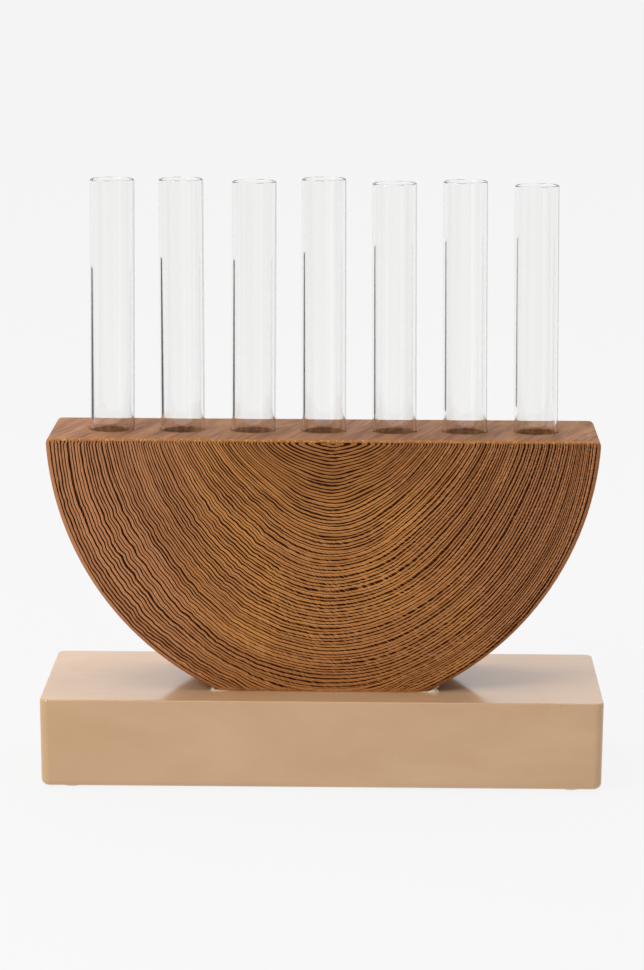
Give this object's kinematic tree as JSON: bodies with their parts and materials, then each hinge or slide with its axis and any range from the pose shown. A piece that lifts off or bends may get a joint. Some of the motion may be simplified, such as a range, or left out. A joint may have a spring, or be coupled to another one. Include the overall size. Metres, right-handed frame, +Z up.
{
  "type": "test tube vase",
  "caption": "Half-round wood-finish holder on a gloss plinth, with a row of loose glass test tubes that each hold water and a flower stem.",
  "frame": {"origin": "on the table, under the middle of the plinth", "axes": "+X to the right along the row of tubes, +Y to the back, +Z up; the front with the pictured face looks along -Y"},
  "size_m": [0.252, 0.098, 0.2697],
  "materials": {
    "tan_gloss": "tan gloss lacquer on a cast block",
    "wood_finish": "cast block painted as wood, with cut growth rings on its faces, satin",
    "clear_glass": "clear, fire polished rim",
    "glue": "cream, cured, slightly glossy",
    "steel": "zinc plated",
    "felt": "brown felt"
  },
  "bodies": {
    "stand": {"plinth": "tan_gloss", "holder": "wood_finish", "glue_bed": "glue", "screw_left": "steel", "screw_right": "steel", "pad_front_left": "felt", "pad_front_right": "felt", "pad_back_left": "felt", "pad_back_right": "felt"},
    "tube_1": {"tube_1": "clear_glass"},
    "tube_2": {"tube_2": "clear_glass"},
    "tube_3": {"tube_3": "clear_glass"},
    "tube_4": {"tube_4": "clear_glass"},
    "tube_5": {"tube_5": "clear_glass"},
    "tube_6": {"tube_6": "clear_glass"},
    "tube_7": {"tube_7": "clear_glass"}
  },
  "joints": [
    {"name": "tube_1_lift", "type": "slide", "parent": "stand", "child": "tube_1", "axis": [0.0035, 0, 1], "range_m": [0, 0.05]},
    {"name": "tube_2_lift", "type": "slide", "parent": "stand", "child": "tube_2", "axis": [-0.0052, 0, 1], "range_m": [0, 0.05]},
    {"name": "tube_3_lift", "type": "slide", "parent": "stand", "child": "tube_3", "axis": [0.0017, 0, 1], "range_m": [0, 0.05]},
    {"name": "tube_4_lift", "type": "slide", "parent": "stand", "child": "tube_4", "axis": [-0.0035, 0, 1], "range_m": [0, 0.05]},
    {"name": "tube_5_lift", "type": "slide", "parent": "stand", "child": "tube_5", "axis": [-0.007, 0, 1], "range_m": [0, 0.05]},
    {"name": "tube_6_lift", "type": "slide", "parent": "stand", "child": "tube_6", "axis": [-0.0087, 0, 1], "range_m": [0, 0.05]},
    {"name": "tube_7_lift", "type": "slide", "parent": "stand", "child": "tube_7", "axis": [-0.0087, 0, 1], "range_m": [0, 0.05]}
  ]
}
